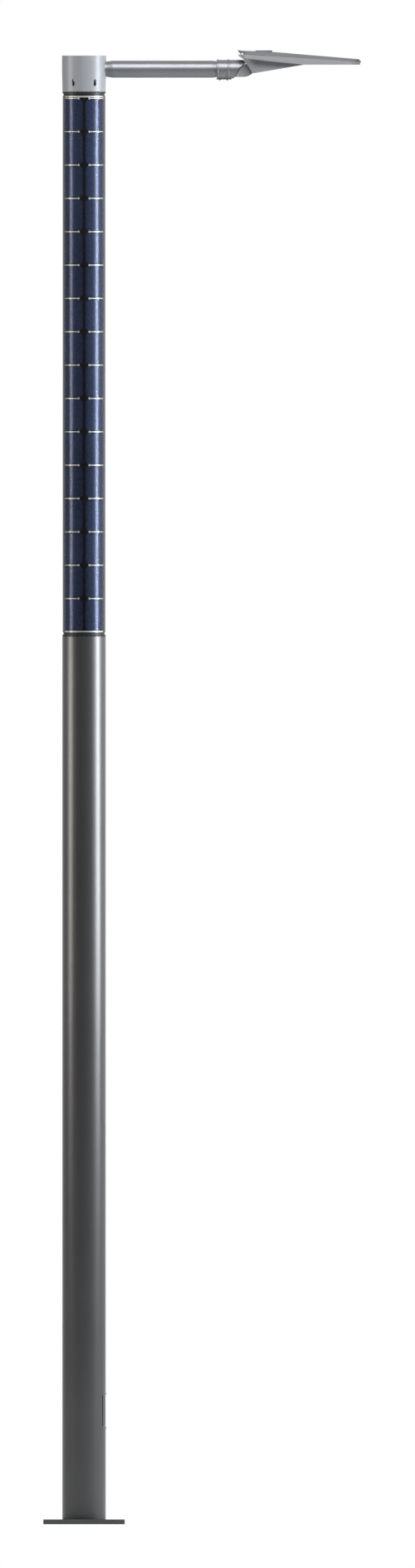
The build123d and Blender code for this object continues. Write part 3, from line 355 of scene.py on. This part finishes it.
# Woven insect screen inside the cap, behind its upright slots: round wires both ways.
def buildCapScreen(look):
    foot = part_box("head_cap")[0].z
    low, high = foot + look["low"], foot + look["high"]
    wires = bmesh.new()
    for index in range(look["uprights"]):
        angle = math.tau * index / look["uprights"]
        place = Vector((math.cos(angle), math.sin(angle), 0)) * look["radius"]
        upright = Matrix.Translation(place + Vector((0, 0, (low + high) / 2)))
        bmesh.ops.create_cone(wires, cap_ends=True, segments=look["uprightSides"],
                              radius1=look["wire"], radius2=look["wire"], depth=high - low,
                              matrix=upright)
    rows = int((high - low) / look["pitch"])
    for row in range(rows + 1):
        addWireHoop(wires, look, low + row * (high - low) / rows)
    finishPiece("cap_screen", wires, "head", "meshBlack")


capScreen = {"radius": 0.0785, "low": 0.0135, "high": 0.0485,  # heights above the cap's foot
             "wire": 0.0006, "uprights": 220, "uprightSides": 6,
             "pitch": 0.0022, "hoopSteps": 96, "hoopSides": 4}
buildCapScreen(capScreen)

# side outlines on the knuckle are in metres from the arm's shoulder, as x and z
boltFromShoulder = (0.1565, 0.009)
tiltJoint = next(joint for joint in frame["joints"] if joint["name"] == "lamp_tilt")
shoulderX = tiltJoint["pos_m"][0] - boltFromShoulder[0]
shoulderZ = tiltJoint["pos_m"][2] - boltFromShoulder[1]


# Rubber strip on the luminaire's rear wall, closing the slit above the knuckle's hood.
def buildHoodStrip(look):
    wall = Vector(look["wallFoot"]) - Vector(look["wallTop"])
    outward = Vector((wall.y, -wall.x)).normalized()
    start, end, taper = look["start"], look["end"], look["taper"]
    thick, standOff = look["thickness"], look["standOff"]
    section = [Vector(look["wallTop"]) + wall * share + outward * out for share, out in (
        (start, thick * look["lip"]), (start + taper, thick),
        (end - taper, thick * look["footShare"]), (end, thick * look["lip"]),
        (end, standOff), (start, standOff))]
    strip = bmesh.new()
    skinRings(strip, [[strip.verts.new((shoulderX + spot.x, y, shoulderZ + spot.y))
                       for spot in section] for y in (-look["half"], look["half"])])
    bmesh.ops.recalc_face_normals(strip, faces=strip.faces)
    finishPiece("hood_strip", strip, "lamp", "sealRubber")


# start, end and taper are shares of the wall, lip and footShare of the thickness
hoodStrip = {"wallTop": (0.1115, 0.041), "wallFoot": (0.1462, -0.0164), "start": 0.03,
             "end": 0.325, "taper": 0.02, "thickness": 0.0021, "lip": 0.1, "footShare": 0.8,
             "standOff": 0.0002, "half": 0.037}
buildHoodStrip(hoodStrip)


# Cast covers on both sides of the tongue, in the triangle between the mitred hood and the
# luminaire, with a rounded outer edge.
def buildCheeks(look):
    outline = [Vector(corner) for corner in look["outline"]]
    middle = sum(outline, Vector((0, 0))) / len(outline)
    outer, bevel, knee = look["outer"], look["bevel"], look["bevel"] * look["kneeShare"]
    covers = bmesh.new()
    for side in (-1, 1):
        rings = []
        for depth, inset in ((look["inner"], 0), (outer - bevel, 0), (outer - knee, knee),
                             (outer, bevel)):
            spots = [corner + (middle - corner).normalized() * inset for corner in outline]
            rings.append([covers.verts.new((shoulderX + spot.x, side * depth, shoulderZ + spot.y))
                          for spot in spots])
        skinRings(covers, rings)
    bmesh.ops.recalc_face_normals(covers, faces=covers.faces)
    finishPiece("tongue_cheeks", covers, "knuckle", "castGrey")


# the outline runs under the hood, down the luminaire's back and round the foot
cheekCovers = {"inner": 0.0172, "outer": 0.030, "bevel": 0.0012, "kneeShare": 0.3,
               "outline": ((0.0996, 0.0095), (0.1178, 0.0213), (0.1215, 0.0205),
                           (0.1288, 0.0088), (0.1358, -0.0050), (0.1378, -0.0112),
                           (0.1372, -0.0180), (0.1285, -0.0245), (0.1185, -0.0290),
                           (0.1085, -0.0315), (0.0776, -0.0315))}
buildCheeks(cheekCovers)


def addRoundedTile(shape, look, centre, half, depth):
    corners = bmesh.ops.create_cube(shape, size=1.0)["verts"]
    for corner in corners:
        corner.co = Vector((centre.x + corner.co.x * 2 * half, centre.y + corner.co.y * 2 * half,
                            centre.z + corner.co.z * depth))
    touched = dict.fromkeys(edge for corner in corners for edge in corner.link_edges)
    upright = [edge for edge in touched
               if abs(edge.verts[0].co.z - edge.verts[1].co.z) > depth / 2]
    bmesh.ops.bevel(shape, geom=upright, offset=half * look["roundShare"],
                    segments=look["roundSteps"], affect="EDGES")


# One light-emitting chip under every optic: a white body with a yellow phosphor window.
def buildChips(look):
    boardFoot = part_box("led_board")[0].z
    low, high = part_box("led_optics")
    step = (high - low - Vector((1, 1, 0)) * 2 * look["inset"]) / (look["count"] - 1)
    first = low + Vector((1, 1, 0)) * look["inset"]
    size, rise = look["size"], look["rise"]
    chips, windows = bmesh.new(), bmesh.new()
    for column in range(look["count"]):
        for row in range(look["count"]):
            x, y = first.x + column * step.x, first.y + row * step.y
            addRoundedTile(chips, look, Vector((x, y, boardFoot - rise / 2)), size / 2, rise)
            addRoundedTile(windows, look, Vector((x, y, boardFoot - rise * 3 / 2)),
                           size * look["windowShare"], rise)
    finishPiece("led_chips", chips, "lamp", "boardWhite")
    finishPiece("led_phosphor", windows, "lamp", "phosphor")


# inset is from the optics' edge to the first row, rise the height of the body and of the window
chipLook = {"count": 6, "inset": 0.014, "size": 0.0032, "rise": 0.00008, "windowShare": 0.36,
            "roundShare": 0.3, "roundSteps": 3}
buildChips(chipLook)
print("detail pieces built")


def addAreaLight(name, place, target, size, power, colour):
    data = bpy.data.lights.new(name, "AREA")
    data.shape = "RECTANGLE"
    data.size, data.size_y = size
    data.energy = power
    data.color = colour
    light = bpy.data.objects.new(name, data)
    scene.collection.objects.link(light)
    light.location = place
    aim = Vector(target) - Vector(place)
    light.rotation_euler = aim.to_track_quat("-Z", "Y").to_euler()
    return light


# places and sizes in metres, power in watts
lights = {
    "leftStrip": {"place": (-4.2, -0.95, 4.6), "target": (0, 0, 4.6), "size": (0.9, 5.0),
                  "power": 103.0, "colour": (1.0, 0.95, 0.88)},
    "rightStrip": {"place": (4.6, -1.00, 4.7), "target": (0, 0, 4.7), "size": (1.2, 5.0),
                   "power": 330.0, "colour": (0.93, 0.97, 1.0)},
    "topPanel": {"place": (0.6, -3.7, 9.6), "target": (0.5, 0, 5.9), "size": (4.0, 3.6),
                 "power": 330.0, "colour": (0.98, 0.99, 1.0)},
}
studioLights = {name: addAreaLight(name, **setup) for name, setup in lights.items()}

# the right strip is flagged off the luminaire, so its nose stays as dull as its sides
flaggedNodes = ["lamp_housing", "canopy", "latch_lever", "sensor_cap", "glass_cover",
                "glass_seal"]
flagged = bpy.data.collections.new("flaggedFromStrip")
for nodeName in flaggedNodes:
    flagged.objects.link(cadNodes[nodeName])
for member in flagged.collection_objects:
    member.light_linking.link_state = "EXCLUDE"
studioLights["rightStrip"].light_linking.receiver_collection = flagged


# A plain backdrop for the camera, and a soft surround for the light: dark in front, grey at the
# sides, bright at the back right, and stronger towards the top.
def buildWorld(look):
    world = bpy.data.worlds.new("studio")
    scene.world = world
    world.use_nodes = True
    nodes, links = world.node_tree.nodes, world.node_tree.links
    nodes.clear()
    output = nodes.new("ShaderNodeOutputWorld")
    coords = nodes.new("ShaderNodeTexCoord")
    lean = nodes.new("ShaderNodeVectorMath")  # how far a ray points to the back right
    lean.operation = "DOT_PRODUCT"
    lean.inputs[1].default_value = (*look["lean"], 0)
    links.new(coords.outputs["Generated"], lean.inputs[0])
    ramp = nodes.new("ShaderNodeValToRGB")
    stops = ramp.color_ramp.elements
    stops[0].position, stops[0].color = 0.0, (*look["front"], 1)
    stops[1].position, stops[1].color = 1.0, (*look["behind"], 1)
    stops.new(0.5).color = (*look["sides"], 1)
    links.new(spread(nodes, links, lean.outputs["Value"], 0.0, 1.0, -1.0, 1.0),
              ramp.inputs["Fac"])
    split = nodes.new("ShaderNodeSeparateXYZ")
    links.new(coords.outputs["Generated"], split.inputs["Vector"])
    lit = nodes.new("ShaderNodeBackground")
    links.new(ramp.outputs["Color"], lit.inputs["Color"])
    links.new(spread(nodes, links, split.outputs["Z"], 1.0, look["skyGain"], look["skyFrom"], 1.0),
              lit.inputs["Strength"])
    seen = nodes.new("ShaderNodeBackground")
    seen.inputs["Color"].default_value = (*look["backdrop"], 1)
    path = nodes.new("ShaderNodeLightPath")
    both = mixShaders(nodes, links, path.outputs["Is Camera Ray"], lit.outputs["Background"],
                      seen.outputs["Background"])
    links.new(both, output.inputs["Surface"])


studio = {"backdrop": (1.0, 1.0, 1.0), "front": (0.035, 0.035, 0.036),
          "sides": (0.20, 0.203, 0.21), "behind": (0.85, 0.87, 0.90), "lean": (0.38, 0.92),
          "skyFrom": -0.2, "skyGain": 1.4}
buildWorld(studio)


# A pale floor that fades to the backdrop's white far out and is see-through from below.
def buildFloor(look):
    grid = bmesh.new()
    bmesh.ops.create_grid(grid, x_segments=look["segments"], y_segments=look["segments"],
                          size=look["half"])
    mesh = meshFrom("floor", grid)
    floor = bpy.data.objects.new("floor", mesh)
    scene.collection.objects.link(floor)
    floor.location = (0, 0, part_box("base_plate")[0][2] - look["gap"])
    material, nodes, links, shader = startMaterial("floorPale")
    vector = objectCoords(nodes, links)
    field = noiseField(nodes, links, vector, look["cloudScale"])
    links.new(blendColours(nodes, links, field, look["colour"], look["shade"]),
              shader.inputs["Base Color"])
    shader.inputs["Roughness"].default_value = look["roughness"]
    away = nodes.new("ShaderNodeVectorMath")
    away.operation = "LENGTH"
    links.new(vector, away.inputs[0])
    fade = spread(nodes, links, away.outputs["Value"], 0.0, 1.0, look["fadeStart"],
                  look["fadeEnd"])
    path = nodes.new("ShaderNodeLightPath")
    seen = nodes.new("ShaderNodeMath")  # the fade counts for camera rays alone
    seen.operation = "MULTIPLY"
    links.new(fade, seen.inputs[0])
    links.new(path.outputs["Is Camera Ray"], seen.inputs[1])
    white = nodes.new("ShaderNodeEmission")
    above = mixShaders(nodes, links, seen.outputs["Value"], shader.outputs["BSDF"],
                       white.outputs["Emission"])
    side = nodes.new("ShaderNodeNewGeometry")
    clear = nodes.new("ShaderNodeBsdfTransparent")
    surface = mixShaders(nodes, links, side.outputs["Backfacing"], above, clear.outputs["BSDF"])
    links.new(surface, nodes["Material Output"].inputs["Surface"])
    mesh.materials.append(material)


floorLook = {"half": 14.0, "segments": 8, "gap": 0.0005, "colour": (0.80, 0.80, 0.80),
             "shade": (0.77, 0.77, 0.775), "cloudScale": 2.0, "roughness": 0.75,
             "fadeStart": 1.0, "fadeEnd": 6.0}
buildFloor(floorLook)


# Level side view without perspective.
def addCamera(look):
    data = bpy.data.cameras.new("camera")
    data.type = "ORTHO"
    data.ortho_scale = look["viewHeight"]
    data.clip_end = look["clipEnd"]
    camera = bpy.data.objects.new("camera", data)
    scene.collection.objects.link(camera)
    camera.location = (look["centreX"], -look["distance"], look["centreZ"])
    camera.rotation_euler = (math.radians(90), 0, 0)
    scene.camera = camera


shot = {"centreX": 0.5053, "centreZ": 3.028, "viewHeight": 6.4135, "distance": 14.0,
        "clipEnd": 60.0}
addCamera(shot)
scene.view_settings.view_transform = "Standard"
print("stage, lights and camera ready")
